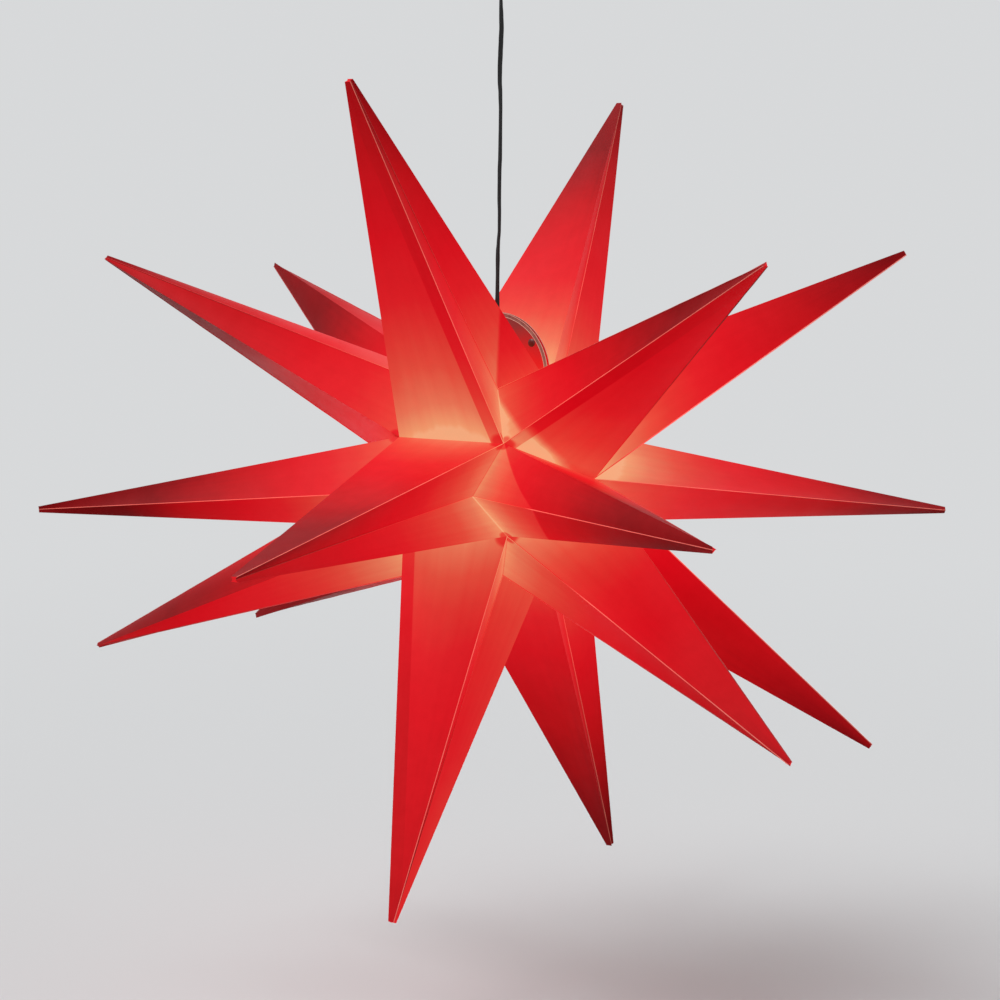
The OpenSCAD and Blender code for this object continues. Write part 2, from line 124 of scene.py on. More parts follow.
def maths(tree, operation, *values, clamp=False):
    inputs = dict(enumerate(values))
    return add(tree, "ShaderNodeMath", inputs, operation=operation, use_clamp=clamp).outputs[0]


def vector_maths(tree, operation, *values):
    """A vector, or for a length, a distance or a dot product its single value."""
    node = add(tree, "ShaderNodeVectorMath", dict(enumerate(values)), operation=operation)
    single = operation in ("LENGTH", "DISTANCE", "DOT_PRODUCT")
    return node.outputs["Value" if single else "Vector"]


def mix_colours(tree, factor, first, second, blend="MIX"):
    inputs = {"Factor": factor, MIX_FIRST: first, MIX_SECOND: second}
    return add(tree, "ShaderNodeMix", inputs, data_type="RGBA", blend_type=blend).outputs[MIX_RESULT]


def ramp(tree, factor, stops):
    """A colour ramp from a list of (place, (r, g, b))."""
    node = add(tree, "ShaderNodeValToRGB", {0: factor})
    elements = node.color_ramp.elements
    while len(elements) < len(stops):
        elements.new(0.5)
    for element, (place, colour) in zip(elements, stops):
        element.position = place
        element.color = (*colour, 1)
    return node.outputs[0]


def attribute(tree, name):
    """A number that the mesh carries under this name."""
    return add(tree, "ShaderNodeAttribute", attribute_name=name).outputs["Fac"]


def object_place(tree):
    return add(tree, "ShaderNodeTexCoord").outputs["Object"]


def noise_at(tree, place, scale, detail=3.0, roughness=0.5):
    inputs = {"Vector": place, "Scale": scale, "Detail": detail, "Roughness": roughness}
    return add(tree, "ShaderNodeTexNoise", inputs).outputs["Fac"]


def ranged(tree, value, low, high, to_low, to_high, smooth=False):
    inputs = {0: value, 1: low, 2: high, 3: to_low, 4: to_high}
    kind = "SMOOTHSTEP" if smooth else "LINEAR"
    return add(tree, "ShaderNodeMapRange", inputs, interpolation_type=kind).outputs[0]


def uneven(tree, place, scale, low, high, detail=3.0):
    """A value that wanders between low and high over the surface."""
    return ranged(tree, noise_at(tree, place, scale, detail), *NOISE_SPAN, low, high)


def bump(tree, height, distance, strength, normal=None):
    inputs = {"Height": height, "Distance": distance, "Strength": strength}
    if normal is not None:
        inputs["Normal"] = normal
    return add(tree, "ShaderNodeBump", inputs).outputs[0]


# Light of the lamp through the sheet

# What reaches a face is the height of the lamp over its plane by its distance cubed. As a power
# of ten, this range of it runs along the ramp of colours that come through: the red sheet lets
# orange through near the lamp and only deep red far out.
GLOW_LOW = -0.45
GLOW_HIGH = 1.65
GLOW_STOPS = [
    (0.000, (0.050, 0.000, 0.000)),
    (0.071, (0.140, 0.000, 0.001)),
    (0.214, (0.360, 0.001, 0.003)),
    (0.400, (0.540, 0.002, 0.007)),
    (0.524, (0.590, 0.009, 0.013)),
    (0.638, (0.610, 0.032, 0.024)),
    (0.743, (0.630, 0.068, 0.040)),
    (0.871, (0.650, 0.165, 0.085)),
    (0.976, (0.690, 0.310, 0.145)),
    (1.000, (0.720, 0.390, 0.200)),
]
# The lamp isn't a point, so that a face in line with it still takes some light
LAMP_DEPTH = 0.006

# Width of the lap along a fold and of its soft edge, and the light, as a power of ten, that it
# takes at these distances from the lamp
LAP = 0.0145
LAP_EDGE = 0.0012
LAP_DISTANCES = (0.20, 0.42)
LAP_LIGHT = (-0.36, -0.06)
# Light that a cuff takes, width of its soft edge, and the part that is left of it far along a face
CUFF_LIGHT = -0.45
CUFF_EDGE = 0.012
CUFF_ALONG = (0.5, 0.9)
CUFF_LEFT = 0.7
# Knot of sheet at a face's second corner: usual size of a face, radii of the knot, light it takes
FACE_WIDTH = 0.1
FACE_LENGTH = 0.4
KNOT_RADII = (0.008, 0.013)
KNOT_LIGHT = -0.45
# Half widths of the line along a crease
CREASE_WIDTHS = (0.0004, 0.0018)


def lamp_light(tree, extra=None):
    """Place on the glow ramp of a point of the sheet, with an extra power of ten added."""
    coords = add(tree, "ShaderNodeTexCoord").outputs
    away = vector_maths(tree, "SUBTRACT", coords["Object"], tuple(lamp_middle))
    distance = vector_maths(tree, "LENGTH", away)
    height = maths(tree, "ABSOLUTE", vector_maths(tree, "DOT_PRODUCT", away, coords["Normal"]))
    height = maths(tree, "ADD", height, LAMP_DEPTH)
    light = maths(tree, "DIVIDE", height, maths(tree, "POWER", distance, 3.0))
    power = maths(tree, "LOGARITHM", light, 10.0)
    power = maths(tree, "ADD", power, uneven(tree, coords["Object"], 9.0, -0.05, 0.05))
    if extra is not None:
        power = maths(tree, "ADD", power, extra)
    return ranged(tree, power, GLOW_LOW, GLOW_HIGH, 0.0, 1.0)


def layer_light(tree, place):
    """Power of ten of the light that laps, layers, covers, knots, cuffs and creases add or take."""
    face = add(tree, "ShaderNodeUVMap", uv_map="face_place").outputs[0]
    along = add(tree, "ShaderNodeSeparateXYZ", {0: face}).outputs[1]

    in_lap = ranged(tree, attribute(tree, "lap_gap"), LAP, LAP + LAP_EDGE, 1.0, 0.0, smooth=True)
    away = vector_maths(tree, "DISTANCE", place, tuple(lamp_middle))
    lap = maths(tree, "MULTIPLY", in_lap, ranged(tree, away, *LAP_DISTANCES, *LAP_LIGHT))

    stretched = vector_maths(tree, "MULTIPLY", face, (9.0, 1.3, 1.0))
    streaks = uneven(tree, stretched, 1.0, -0.03, 0.03, 2.0)

    past_line = ranged(tree, attribute(tree, "cover_gap"), -1.0, 1.0, 0.0, 1.0, smooth=True)
    cover = maths(tree, "MULTIPLY", past_line, attribute(tree, "cover"))

    flat_place = vector_maths(tree, "MULTIPLY", face, (FACE_WIDTH, FACE_LENGTH, 0.0))
    to_corner = vector_maths(tree, "DISTANCE", flat_place, (FACE_WIDTH, 0.0, 0.0))
    knot = ranged(tree, to_corner, *KNOT_RADII, KNOT_LIGHT, 0.0, smooth=True)

    in_cuff = ranged(tree, attribute(tree, "cuff"), 0.0, CUFF_EDGE, 0.0, 1.0, smooth=True)
    in_cuff = maths(tree, "MULTIPLY", in_cuff, ranged(tree, along, *CUFF_ALONG, 1.0, CUFF_LEFT))
    cuff = maths(tree, "MULTIPLY", in_cuff, CUFF_LIGHT)

    on_crease = ranged(tree, attribute(tree, "crease_gap"), *CREASE_WIDTHS, 1.0, 0.0, smooth=True)
    crease = maths(tree, "MULTIPLY", on_crease, attribute(tree, "crease_light"))

    total = lap
    for light in (streaks, attribute(tree, "layers"), cover, knot, cuff, crease):
        total = maths(tree, "ADD", total, light)
    return total


def sheet_material():
    """Satin red sheet lit from behind, with a fine grain and slow waves."""
    material, tree, surface = new_material("star_sheet")
    place = object_place(tree)
    mottle = noise_at(tree, place, 60.0, 4.0, 0.6)
    grain = bump(tree, noise_at(tree, place, 900.0, 2.0), 0.0002, 0.25)
    fill(tree, surface, {
        "Base Color": ramp(tree, mottle, [(0.3, (0.23, 0.003, 0.005)), (0.7, (0.28, 0.005, 0.008))]),
        "Emission Color": ramp(tree, lamp_light(tree, layer_light(tree, place)), GLOW_STOPS),
        "Emission Strength": 1.0,
        "IOR": 1.49,
        "Specular IOR Level": 0.11,
        "Roughness": uneven(tree, place, 14.0, 0.44, 0.56, 4.0),
        "Normal": bump(tree, noise_at(tree, place, 11.0, 2.0), 0.004, 0.35, grain),
    })
    return material


def seam_material():
    """Thin edge of a weld or a fold, which shows light where the sheet whitens along it."""
    material, tree, surface = new_material("seam_edge")
    place = object_place(tree)
    bright = maths(tree, "MULTIPLY", attribute(tree, "bright"), uneven(tree, place, 45.0, 0.75, 1.1))
    glow = ramp(tree, lamp_light(tree), GLOW_STOPS)
    fill(tree, surface, {
        "Base Color": mix_colours(tree, bright, (0.34, 0.006, 0.009, 1), (0.70, 0.12, 0.11, 1)),
        "Emission Color": mix_colours(tree, bright, glow, (0.16, 0.085, 0.060, 1), "ADD"),
        "Emission Strength": 1.0,
        "Roughness": 0.4,
        "Specular IOR Level": 0.32,
        "Normal": bump(tree, noise_at(tree, place, 500.0), 0.0003, 0.5),
    })
    return material


# Meshes

# Edges sharper than these angles in degrees stay sharp
LEAF_SHARP = 25
TUBE_SHARP = 50


def mesh_object(name, bm, sharp=None):
    """An object from a mesh, smooth except at edges sharper than this angle in degrees."""
    mesh = bpy.data.meshes.new(name)
    bm.to_mesh(mesh)
    bm.free()
    if sharp is not None:
        for polygon in mesh.polygons:
            polygon.use_smooth = True
        mesh.set_sharp_from_angle(angle=math.radians(sharp))
    piece = bpy.data.objects.new(name, mesh)
    bpy.context.collection.objects.link(piece)
    return piece


def tube_mesh(name, rings):
    """A tube through rings of points, with flat ends."""
    bm = bmesh.new()
    made = [[bm.verts.new(point) for point in ring] for ring in rings]
    count = len(rings[0])
    for low, high in zip(made, made[1:]):
        for i in range(count):
            j = (i + 1) % count
            bm.faces.new((low[i], low[j], high[j], high[i]))
    bm.faces.new(made[0][::-1])
    bm.faces.new(made[-1])
    bmesh.ops.recalc_face_normals(bm, faces=bm.faces)
    return mesh_object(name, bm, TUBE_SHARP)


def join(name, pieces):
    """One object from several meshes."""
    bm = bmesh.new()
    for piece in pieces:
        bm.from_mesh(piece.data)
        bpy.data.objects.remove(piece)
    return mesh_object(name, bm)


# The star's sheets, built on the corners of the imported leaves

# A tip is cut off this far from its axis, at a fold and at a seam
TIP_FOLD = 0.0043
TIP_SEAM = 0.0014
# Cells along and across each face
ROWS = 30
COLUMNS = 8
# Height of a face's bow over its width, times a chance value in this range, and the draws' seed
BOW = 0.035
BOW_CHANCE = (-0.6, 1.0)
SEED = 7
# Two corners lie on one line from the middle where the cosine between them is more than this
SAME_WAY = 1 - 1e-6
# A gap wider than any face, for what a face doesn't have, and a cuff that starts past the tip
NO_GAP = 1.0
NO_CUFF = (2.0, 2.0)

# Light lines and dark spots of the single faces, which leaf_faces numbers from 0 to 6

# Faces that carry a lap, as {face: 0 for the lap along its first edge, 1 for its second}
LAPS = {
    "top_front_lower_leaf": {3: 1, 0: 1},
    "bottom_front_upper_leaf": {3: 0},
    "top_rear_lower_leaf": {3: 1, 0: 1},
    "middle_rear_lower_leaf": {3: 1},
    "bottom_rear_upper_leaf": {3: 0},
}
# Light of a face at its base and at its tip, as a power of ten over what the lamp alone gives it:
# less where layers of sheet lie behind it, more where other faces throw light on it
LAYERS = {
    "top_front_upper_leaf": {2: (0.0, 0.1), 4: (-0.2, -0.2), 5: (-0.3, -0.3), 6: (-0.3, -0.3)},
    "top_front_lower_leaf": {
        0: (0.5, 1.3), 1: (0.1, -0.15), 3: (0.0, 0.2), 5: (-0.6, 0.05), 6: (-0.6, -0.2),
    },
    "middle_front_upper_leaf": {
        0: (-0.4, -0.55), 1: (-0.15, -0.4), 2: (-0.15, 0.1), 3: (-0.45, -0.6), 4: (-0.4, -0.4),
        5: (-0.4, -0.8),
    },
    "middle_front_lower_leaf": {1: (-0.1, -0.1), 2: (0.0, 0.4), 5: (0.2, -0.8)},
    "bottom_front_upper_leaf": {
        0: (0.05, 0.2), 1: (-0.2, 0.0), 3: (-0.35, 0.3), 5: (0.05, 0.25), 6: (-0.2, -0.2),
    },
    "top_rear_upper_leaf": {0: (0.35, -0.1), 3: (0.2, -0.5), 5: (-0.35, -0.35), 6: (-0.35, -0.6)},
    "middle_rear_upper_leaf": {0: (0.45, -0.2), 5: (-0.2, -0.1)},
    "bottom_rear_upper_leaf": {0: (-0.15, -0.15), 3: (-0.25, -0.25)},
    "bottom_front_lower_leaf": {2: (-0.4, 1.15), 4: (0.0, 0.4)},
    "bottom_rear_lower_leaf": {
        0: (-0.4, 0.1), 2: (-0.25, -0.1), 3: (-0.5, 0.0), 5: (-0.9, -0.7), 6: (-0.9, -0.7),
    },
}
# Second sheet inside a face, past the line from one (across, along) to the next, with the light that
# it takes and how soft its edge is, which is negative where it lies on the base's side of the line
COVERS = {
    "top_front_upper_leaf": {2: ((0.0, 0.01), (0.89, 0.236), -0.5, -0.003)},
    "top_front_lower_leaf": {
        0: ((0.98, 0.10), (0.40, 0.015), -0.7, 0.010), 1: ((0.2, 0.0), (0.98, 0.075), -0.5, 0.005),
    },
}
# Faces with a cuff inside, which starts at these shares of the way to the tip along its two edges
CUFFS = {
    "middle_front_upper_leaf": {1: (0.27, 0.0)},
    "middle_front_lower_leaf": {1: (0.27, 0.22)},
}
# Faces with a crease across their base, and the light that it adds on a lower or takes on an upper leaf
CREASED_FACES = (1, 2, 4, 5)
CREASE_LIGHT = {"lower": 0.22, "upper": -0.16}
# Edges that show as a light line: folds as (face, edge), then seams by face
LIGHT_FOLDS = {
    "top_front_lower_leaf": [(0, 1), (3, 1)],
    "middle_front_upper_leaf": [(3, 1)],
    "bottom_front_upper_leaf": [(0, 1), (3, 1)],
}
LIGHT_SEAMS = {
    "top_front": [], "middle_front": [1, 5], "bottom_front": [],
    "top_rear": [0, 2, 4], "middle_rear": [0, 2, 6], "bottom_rear": [0, 2, 4],
}
# Distances from the middle over which a line comes up, and those of the lines that start elsewhere
LINE_START = (0.14, 0.22)
LINE_STARTS = {("middle_front", 1): (0.206, 0.216), ("bottom_front_upper_leaf", 0): (0.19, 0.23)}
# How bright the light lines are along folds and seams, and the other seams
FOLD_BRIGHT = 1.0
SEAM_BRIGHT = 0.9
SEAM_DIM = 0.1

# Tip edges of the faces of each spike, in order round the tip, with -1 for a reversed row
TIP_TURNS = [[(0, 1), (1, -1)], [(2, 1), (3, -1), (4, -1)], [(6, 1), (5, -1)]]
# Numbers that each corner of the mesh carries for the material, beside its place in its face
LEAF_MARKS = ("lap_gap", "crease_gap", "crease_light", "layers", "cuff", "cover_gap", "cover")


def leaf_points(name):
    """Outer corners of a leaf as places from the star's middle, and how far its inside is drawn in."""
    places = {}
    for vertex in nodes[name].data.vertices:
        place = vertex.co - middle
        places[tuple(round(value, 5) for value in place)] = place
    outer = []
    drawn_in = 1.0
    for place in sorted(places.values(), key=lambda p: -p.length):
        same = [q for q in outer if q.normalized().dot(place.normalized()) > SAME_WAY]
        if same:
            drawn_in = min(drawn_in, place.length / same[0].length)
        else:
            outer.append(place)
    tips = sorted(outer[:3], key=lambda p: -p.x)
    rest = sorted(outer[3:], key=lambda p: -abs(p.x) / p.length)
    pairs = [sorted(rest[i:i + 2], key=lambda p: -p.x) for i in (0, 2, 4)]
    return tips, pairs, drawn_in


def leaf_faces(tips, pairs):
    """Each flat face as (base point, base point, tip, kind of edge, kind of edge)."""
    poles, corners, valleys = pairs
    return [
        (poles[0], corners[0], tips[0], "seam", "fold"),
        (valleys[0], corners[0], tips[0], "seam", "fold"),
        (valleys[0], corners[0], tips[1], "seam", "fold"),
        (corners[1], corners[0], tips[1], "fold", "fold"),
        (valleys[1], corners[1], tips[1], "seam", "fold"),
        (valleys[1], corners[1], tips[2], "seam", "fold"),
        (poles[1], corners[1], tips[2], "seam", "fold"),
    ]


def blunt_corner(tip, base, kind):
    """The corner beside a spike's tip where the edge of this kind from this base point ends."""
    axis = tip.normalized()
    side = (base - axis * base.dot(axis)).normalized()
    return tip + side * (TIP_SEAM if kind == "seam" else TIP_FOLD)


def line_gap(point, start, end):
    way = (end - start).normalized()
    return (point - start).cross(way).length


def add_face_grid(bm, layers, face, bow, traits):
    """One bowed face of a leaf, with its marks. Returns its grid of vertices, base row first."""
    base_a, base_b, tip, kind_a, kind_b = face
    tip_a = blunt_corner(tip, base_a, kind_a)
    tip_b = blunt_corner(tip, base_b, kind_b)
    normal = (base_b - base_a).cross(tip - base_a).normalized()
    if normal.dot(base_a) < 0:
        normal.negate()
    width = (base_b - base_a).length
    lap_line = {0: (base_a, tip_a), 1: (base_b, tip_b)}.get(traits["lap"])
    near, far = traits["layers"]
    cover = traits["cover"]
    if cover:
        *ends, cover_light, softness = cover
        spots = [base_a.lerp(tip_a, t).lerp(base_b.lerp(tip_b, t), u) for u, t in ends]
        aside = (spots[1] - spots[0]).cross(normal).normalized()
        if aside.dot(tip) < 0:
            aside.negate()
    grid = []
    marks = []
    for i in range(ROWS + 1):
        t = i / ROWS
        start = base_a.lerp(tip_a, t)
        end = base_b.lerp(tip_b, t)
        grid.append([])
        marks.append([])
        for j in range(COLUMNS + 1):
            u = j / COLUMNS
            flat = start.lerp(end, u)
            swell = 4 * u * (1 - u) * math.sin(math.pi * t ** 0.75)
            point = flat + normal * (bow * width * swell)
            grid[-1].append(bm.verts.new(middle + point))
            marks[-1].append((
                line_gap(flat, *lap_line) if lap_line else NO_GAP,
                line_gap(flat, base_a, base_b) if traits["crease"] else NO_GAP,
                traits["crease_light"],
                near + (far - near) * t,
                t - traits["cuff"][0] * (1 - u) - traits["cuff"][1] * u,
                (flat - spots[0]).dot(aside) / softness if cover else -NO_GAP,
                cover_light if cover else 0.0,
                (u, t),
            ))
    for i in range(ROWS):
        for j in range(COLUMNS):
            around = ((i, j), (i, j + 1), (i + 1, j + 1), (i + 1, j))
            quad = bm.faces.new([grid[a][b] for a, b in around])
            for loop, (a, b) in zip(quad.loops, around):
                for layer, value in zip(layers[:-1], marks[a][b]):
                    loop[layer] = value
                loop[layers[-1]].uv = marks[a][b][-1]
    return grid


def cap_tips(bm, layers, grids):
    """The small flat face at the end of each spike."""
    for turn in TIP_TURNS:
        ring = []
        for index, way in turn:
            row = grids[index][-1][::way]
            ring += row[:-1] if (index, way) != turn[-1] else row
        cap = bm.faces.new(ring)
        for loop in cap.loops:
            loop[layers[0]] = NO_GAP
            loop[layers[1]] = NO_GAP
            loop[layers[-1]].uv = (0.5, 1.0)


def close_shell(bm, drawn_in):
    """Adds the inner side, drawn in toward the star's middle, and the rim between."""
    outer_faces = list(bm.faces)
    rim = [edge for edge in bm.edges if edge.is_boundary]
    copy = bmesh.ops.duplicate(bm, geom=list(bm.verts) + list(bm.edges) + outer_faces)
    inner = copy["vert_map"]
    for vertex in [v for v in copy["geom"] if isinstance(v, bmesh.types.BMVert)]:
        vertex.co = middle + (vertex.co - middle) * drawn_in
    for face in [f for f in copy["geom"] if isinstance(f, bmesh.types.BMFace)]:
        face.normal_flip()
    for edge in rim:
        a, b = edge.verts
        bm.faces.new((a, b, inner[b], inner[a]))
    bmesh.ops.recalc_face_normals(bm, faces=bm.faces)


def build_leaf(name, dice):
    """A closed thin shell of seven bowed faces, with blunt tips."""
    tips, pairs, drawn_in = leaf_points(name)
    half = name.split("_")[2]
    bm = bmesh.new()
    layers = [bm.loops.layers.float.new(label) for label in LEAF_MARKS]
    layers.append(bm.loops.layers.uv.new("face_place"))
    grids = []
    for index, face in enumerate(leaf_faces(tips, pairs)):
        traits = {
            "lap": LAPS.get(name, {}).get(index),
            "crease": index in CREASED_FACES,
            "crease_light": CREASE_LIGHT[half],
            "layers": LAYERS.get(name, {}).get(index, (0.0, 0.0)),
            "cuff": CUFFS.get(name, {}).get(index, NO_CUFF),
            "cover": COVERS.get(name, {}).get(index),
        }
        grids.append(add_face_grid(bm, layers, face, BOW * dice.uniform(*BOW_CHANCE), traits))
    cap_tips(bm, layers, grids)
    bmesh.ops.remove_doubles(bm, verts=bm.verts, dist=1e-6)
    bmesh.ops.recalc_face_normals(bm, faces=bm.faces)
    close_shell(bm, drawn_in)
    return mesh_object(name + "_sheet", bm, LEAF_SHARP)


# Raised edge along a ridge: steps along it and sides round it, its lift off the ridge, half its
# width and how much both wander, how many times, and its rise over that half width
BEAD_STEPS = 60
BEAD_SIDES = 6
BEAD_LIFT = 0.0001
BEAD_HALF = 0.00040
BEAD_WANDER = 0.00008
BEAD_WAVES = 18
BEAD_RISE = 1.6


def edge_bead(start, end, kind, bright, dice, shows):
    """The thin raised edge along one ridge of a spike, from its foot to its tip."""
    tip = blunt_corner(end, start, kind)
    along = (tip - start).normalized()
    out = (start - end * (start.dot(end) / end.length_squared)).normalized()
    out = (out - along * out.dot(along)).normalized()
    across = along.cross(out)
    rings = []
    phase = dice.uniform(0, 50)
    for i in range(BEAD_STEPS + 1):
        t = i / BEAD_STEPS
        wobble = noise.noise(Vector((t * BEAD_WAVES + phase, 0, 0)))
        centre = middle + start.lerp(tip, t) + out * (BEAD_LIFT + BEAD_LIFT * wobble)
        half = BEAD_HALF + BEAD_WANDER * wobble
        rings.append([
            centre + across * (half * math.cos(a)) + out * (BEAD_RISE * half * math.sin(a))
            for a in (k * math.tau / BEAD_SIDES for k in range(BEAD_SIDES))
        ])
    bead = tube_mesh("bead", rings)
    marks = bead.data.attributes.new("bright", "FLOAT", "POINT")
    for vertex, mark in zip(bead.data.vertices, marks.data):
        away = (vertex.co - middle).length
        mark.value = bright * min(1.0, max(0.0, (away - shows[0]) / (shows[1] - shows[0])))
    return bead


def leaf_beads(name, dice):
    """Raised edges of a leaf's light folds and, on an upper leaf, of its segment's seams."""
    tips, pairs, _ = leaf_points(name)
    faces = leaf_faces(tips, pairs)
    segment, half = name.replace("_leaf", "").rsplit("_", 1)
    beads = []
    for index, edge in LIGHT_FOLDS.get(name, []):
        shows = LINE_STARTS.get((name, index), LINE_START)
        beads.append(edge_bead(faces[index][edge], faces[index][2], "fold", FOLD_BRIGHT, dice, shows))
    if half == "upper":
        for index, face in enumerate(faces):
            if face[3] == "seam":
                bright = SEAM_BRIGHT if index in LIGHT_SEAMS[segment] else SEAM_DIM
                shows = LINE_STARTS.get((segment, index), LINE_START)
                beads.append(edge_bead(face[0], face[2], "seam", bright, dice, shows))
    return beads


def make_star(sheet, seam):
    """The twelve leaves, and the raised edges along the ridges of each segment's spikes."""
    dice = random.Random(SEED)
    for name in sorted(n for n in nodes if n.endswith("_leaf")):
        leaf = build_leaf(name, dice)
        leaf.data.materials.append(sheet)
        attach(leaf, "star")
        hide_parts(name)
        beads = leaf_beads(name, dice)
        if beads:
            edges = join(name.replace("_leaf", "_edges"), beads)
            edges.data.materials.append(seam)
            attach(edges, "star")


# The flat cord

CORD_WIDE = 0.0052
CORD_THIN = 0.0028
# Height above the star's middle, sideways wave and turn of the wide side in degrees
CORD_ROUTE = [
    (0.541, 0, -20), (0.529, 0, -40), (0.516, 0, -55), (0.504, 0.0005, -30), (0.492, 0.001, -5),
    (0.479, 0.0015, 10), (0.466, 0.001, 20), (0.452, 0.0005, 25), (0.438, 0, 10), (0.424, 0, -5),
    (0.408, 0.001, -20), (0.392, 0.0015, -30), (0.376, 0.0015, -30), (0.359, 0.0015, -25),
    (0.342, 0.0015, -20), (0.327, 0.001, -20), (0.312, 0.001, -25), (0.298, 0.001, -25),
    (0.280, 0.0015, -35), (0.263, 0.0015, -40), (0.249, 0.0005, -35), (0.240, 0, -20),
    (0.232, 0, -10), (0.216, 0, -25), (0.200, 0, -20), (0.183, 0, 0),
]
CORD_STEPS = 150
# Least size of the section where its top end rounds off
CORD_END = 0.35


def cord_section():
    """Outline of the flat twin cord: two round leads with a groove between."""
    radius = CORD_THIN / 2
    centre = CORD_WIDE / 2 - radius
    right = [math.radians(a) for a in range(-130, 131, 20)]
    outline = [(centre + radius * math.cos(a), radius * math.sin(a)) for a in right]
    return outline + [(-x, -y) for x, y in outline]


def route_at(height):
    """Sideways wave and turn of the cord at a height, smooth between the points of its route."""
    if height >= CORD_ROUTE[0][0]:
        return CORD_ROUTE[0][1:]
    for high, low in zip(CORD_ROUTE, CORD_ROUTE[1:]):
        if height >= low[0]:
            t = (height - low[0]) / (high[0] - low[0])
            ease = t * t * (3 - 2 * t)
            return low[1] + (high[1] - low[1]) * ease, low[2] + (high[2] - low[2]) * ease
    return 0, 0


def cord_material():
    """Matt black jacket with a little dust."""
    material, tree, surface = new_material("cord_jacket")
    place = object_place(tree)
    dust = noise_at(tree, place, 120.0, 4.0)
    fill(tree, surface, {
        "Base Color": ramp(tree, dust, [(0.35, (0.004, 0.004, 0.005)), (0.75, (0.009, 0.009, 0.009))]),
        "Roughness": ranged(tree, dust, *NOISE_SPAN, 0.42, 0.58),
        "Specular IOR Level": 0.35,
        "Normal": bump(tree, noise_at(tree, place, 1500.0, 2.0), 0.0002, 0.3),
    })
    return material


def make_cord(jacket):
    """The cord from the ceiling fitting down into the star, twisting slowly on its way."""
    low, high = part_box("lower_cord")[0].z - middle.z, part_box("pendant_cord")[1].z - middle.z
    section = cord_section()
    rings = []
    for i in range(CORD_STEPS + 1):
        height = low + (high - low) * i / CORD_STEPS
        wave, turn = route_at(height)
        from_top = max(0.0, 1 - (high - height) / (CORD_WIDE / 2))
        size = max(CORD_END, math.sqrt(max(0.0, 1 - from_top * from_top)))
        c, s = math.cos(math.radians(turn)), math.sin(math.radians(turn))
        centre = middle + Vector((wave, 0, height))
        rings.append([
            centre + Vector((x * c - y * s, x * s + y * c, 0)) * size for x, y in section
        ])
    cord = tube_mesh("twin_cord", rings)
    cord.data.materials.append(jacket)
    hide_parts("pendant_cord", "lower_cord")
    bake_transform(cord)


# The closing flaps

# Section of the welded rim: how far out from the flap's edge, how far off its face, and 1 where
# it shows light
RIM_SECTION = [
    (0.0004, 0.0, 1), (0.0004, 0.0004, 1), (-0.0001, 0.0004, 1), (-0.0003, 0.00015, 0),
    (-0.0033, 0.00015, 0), (-0.0035, 0.0004, 1), (-0.0039, 0.0004, 1), (-0.0041, 0.0, 0),
]
RIM_STEPS = 64
# The rim starts this far above the fold, clear of the leaf when the flap is down
RIM_FOOT = 0.0045
# Its straight legs end this far below the half round
RIM_LEG_END = 0.002


def rim_material():
    """Clear film over the flap's edge, whitened along its two welds; its glow is painted light of the lamp,
    brightest along the welds.
    """
    material, tree, surface = new_material("flap_rim")
    place = object_place(tree)
    # Random wear, which lightens the film and also adds to its painted glow
    wear_and_glow = uneven(tree, place, 160.0, 0.0, 0.25)
    light = maths(tree, "ADD", attribute(tree, "bright"), wear_and_glow, clamp=True)
    fill(tree, surface, {
        "Base Color": ramp(tree, light, [(0.0, (0.16, 0.075, 0.070)), (1.0, (0.62, 0.40, 0.34))]),
        "Emission Color": ramp(tree, light, [(0.0, (0.055, 0.018, 0.014)), (1.0, (0.14, 0.070, 0.050))]),
        "Emission Strength": 1.0,
        "Roughness": 0.3,
        "Normal": bump(tree, noise_at(tree, place, 400.0), 0.0003, 0.4),
    })
    return material


def make_flap_rims():
    """Welded film edge round each flap, on its outer face, with a light line along each side."""
    film = rim_material()
    for name, side in (("front_flap", -1), ("rear_flap", 1)):
        low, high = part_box(name)
        radius = high.x
        centre_z = high.z - radius
        face_y = low.y if side < 0 else high.y
        foot, leg_end = low.z + RIM_FOOT, centre_z - RIM_LEG_END
        stations = [(0.0, foot), (0.0, leg_end)]
        stations += [(math.pi * k / RIM_STEPS, centre_z) for k in range(RIM_STEPS + 1)]
        stations += [(math.pi, leg_end), (math.pi, foot)]
        rings = [[
            Vector(((radius + out) * math.cos(a), face_y + side * off, z + (radius + out) * math.sin(a)))
            for out, off, _ in RIM_SECTION
        ] for a, z in stations]
        rim = tube_mesh(name + "_rim", rings)
        mark = rim.data.attributes.new("bright", "FLOAT", "POINT")
        for index, item in enumerate(mark.data):
            item.value = RIM_SECTION[index % len(RIM_SECTION)][2]
        rim.data.materials.append(film)
        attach(rim, name)


def flap_material():
    """Sheet of the flaps: lit red from below, grey-red and dim at the top."""
    material, tree, surface = new_material("flap_sheet")
    place = object_place(tree)
    low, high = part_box("front_flap")
    height = add(tree, "ShaderNodeSeparateXYZ", {0: place}).outputs[2]
    height = ranged(tree, height, low.z, high.z, 0.0, 1.0)
    height = maths(tree, "ADD", height, uneven(tree, place, 30.0, -0.06, 0.06))
    glow = ramp(tree, height, [
        (0.0, (0.62, 0.020, 0.016)), (0.35, (0.50, 0.004, 0.006)), (0.6, (0.28, 0.002, 0.004)),
        (0.85, (0.08, 0.006, 0.006)), (1.0, (0.05, 0.010, 0.009)),
    ])
    fill(tree, surface, {
        "Base Color": ramp(tree, height, [(0.3, (0.25, 0.005, 0.007)), (0.9, (0.20, 0.045, 0.045))]),
        "Emission Color": glow,
        "Emission Strength": 1.0,
        "Roughness": 0.4,
        "Specular IOR Level": 0.25,
        "Normal": bump(tree, noise_at(tree, place, 700.0, 2.0), 0.0002, 0.3),
    })
    return material


# Finishes of the fittings

